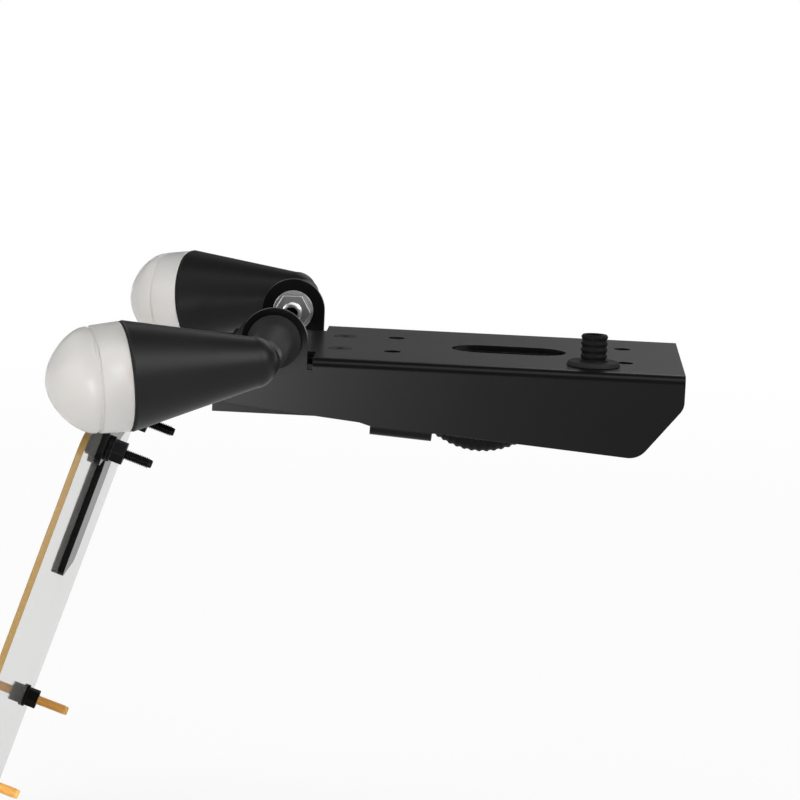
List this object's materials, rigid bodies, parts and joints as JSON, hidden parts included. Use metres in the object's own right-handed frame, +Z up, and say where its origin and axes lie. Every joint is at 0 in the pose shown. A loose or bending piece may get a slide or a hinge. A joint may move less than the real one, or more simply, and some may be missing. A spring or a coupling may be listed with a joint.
{
  "type": "motorcycle tail tidy",
  "caption": "Folded black bracket that hangs a blank number plate, a plate lamp and clear bullet indicators under a motorbike's tail.",
  "frame": {"origin": "centre of the tail bolt pattern, on the face that seats under the tail", "axes": "+X to the front of the motorbike, +Y to its left, +Z up"},
  "size_m": [0.2809, 0.2842, 0.242],
  "materials": {
    "black_sheet": "satin powder coat",
    "black_fastener": "black zinc",
    "plate_sheet": "yellow face, glossy white back",
    "yellow_nylon": "moulded",
    "black_nylon": "moulded",
    "housing_black": "satin",
    "lens_clear": "clear",
    "seal_rubber": "matt",
    "reflector_bright": "bright",
    "bulb_amber": "amber",
    "bright_steel": "zinc",
    "board_white": "solder mask",
    "conduit_black": "ribbed"
  },
  "bodies": {
    "root": {"main_bracket": "black_sheet", "plate_hanger": "black_sheet", "hanger_screws": "black_fastener", "hanger_nuts": "black_fastener", "number_plate": "plate_sheet", "plate_bolts": "black_fastener", "plate_washers": "black_fastener", "plate_nuts": "black_fastener", "nylon_bolts": "yellow_nylon", "nylon_nuts": "black_nylon", "indicator_studs": "bright_steel", "indicator_washers": "bright_steel", "indicator_nuts": "bright_steel", "lamp_housing": "housing_black", "lamp_board": "board_white", "lamp_lens": "lens_clear", "lamp_screws": "black_fastener", "wiring_conduit": "conduit_black", "conduit_clip": "black_nylon", "conduit_grommet": "seal_rubber", "right_indicator_housing": "housing_black", "right_indicator_lens": "lens_clear", "right_indicator_gasket": "seal_rubber", "right_indicator_reflector": "reflector_bright", "right_bulb_holder": "black_nylon", "right_bulb": "bulb_amber", "right_stem": "seal_rubber", "left_indicator_housing": "housing_black", "left_indicator_lens": "lens_clear", "left_indicator_gasket": "seal_rubber", "left_indicator_reflector": "reflector_bright", "left_bulb_holder": "black_nylon", "left_bulb": "bulb_amber", "left_stem": "seal_rubber"}
  },
  "joints": []
}
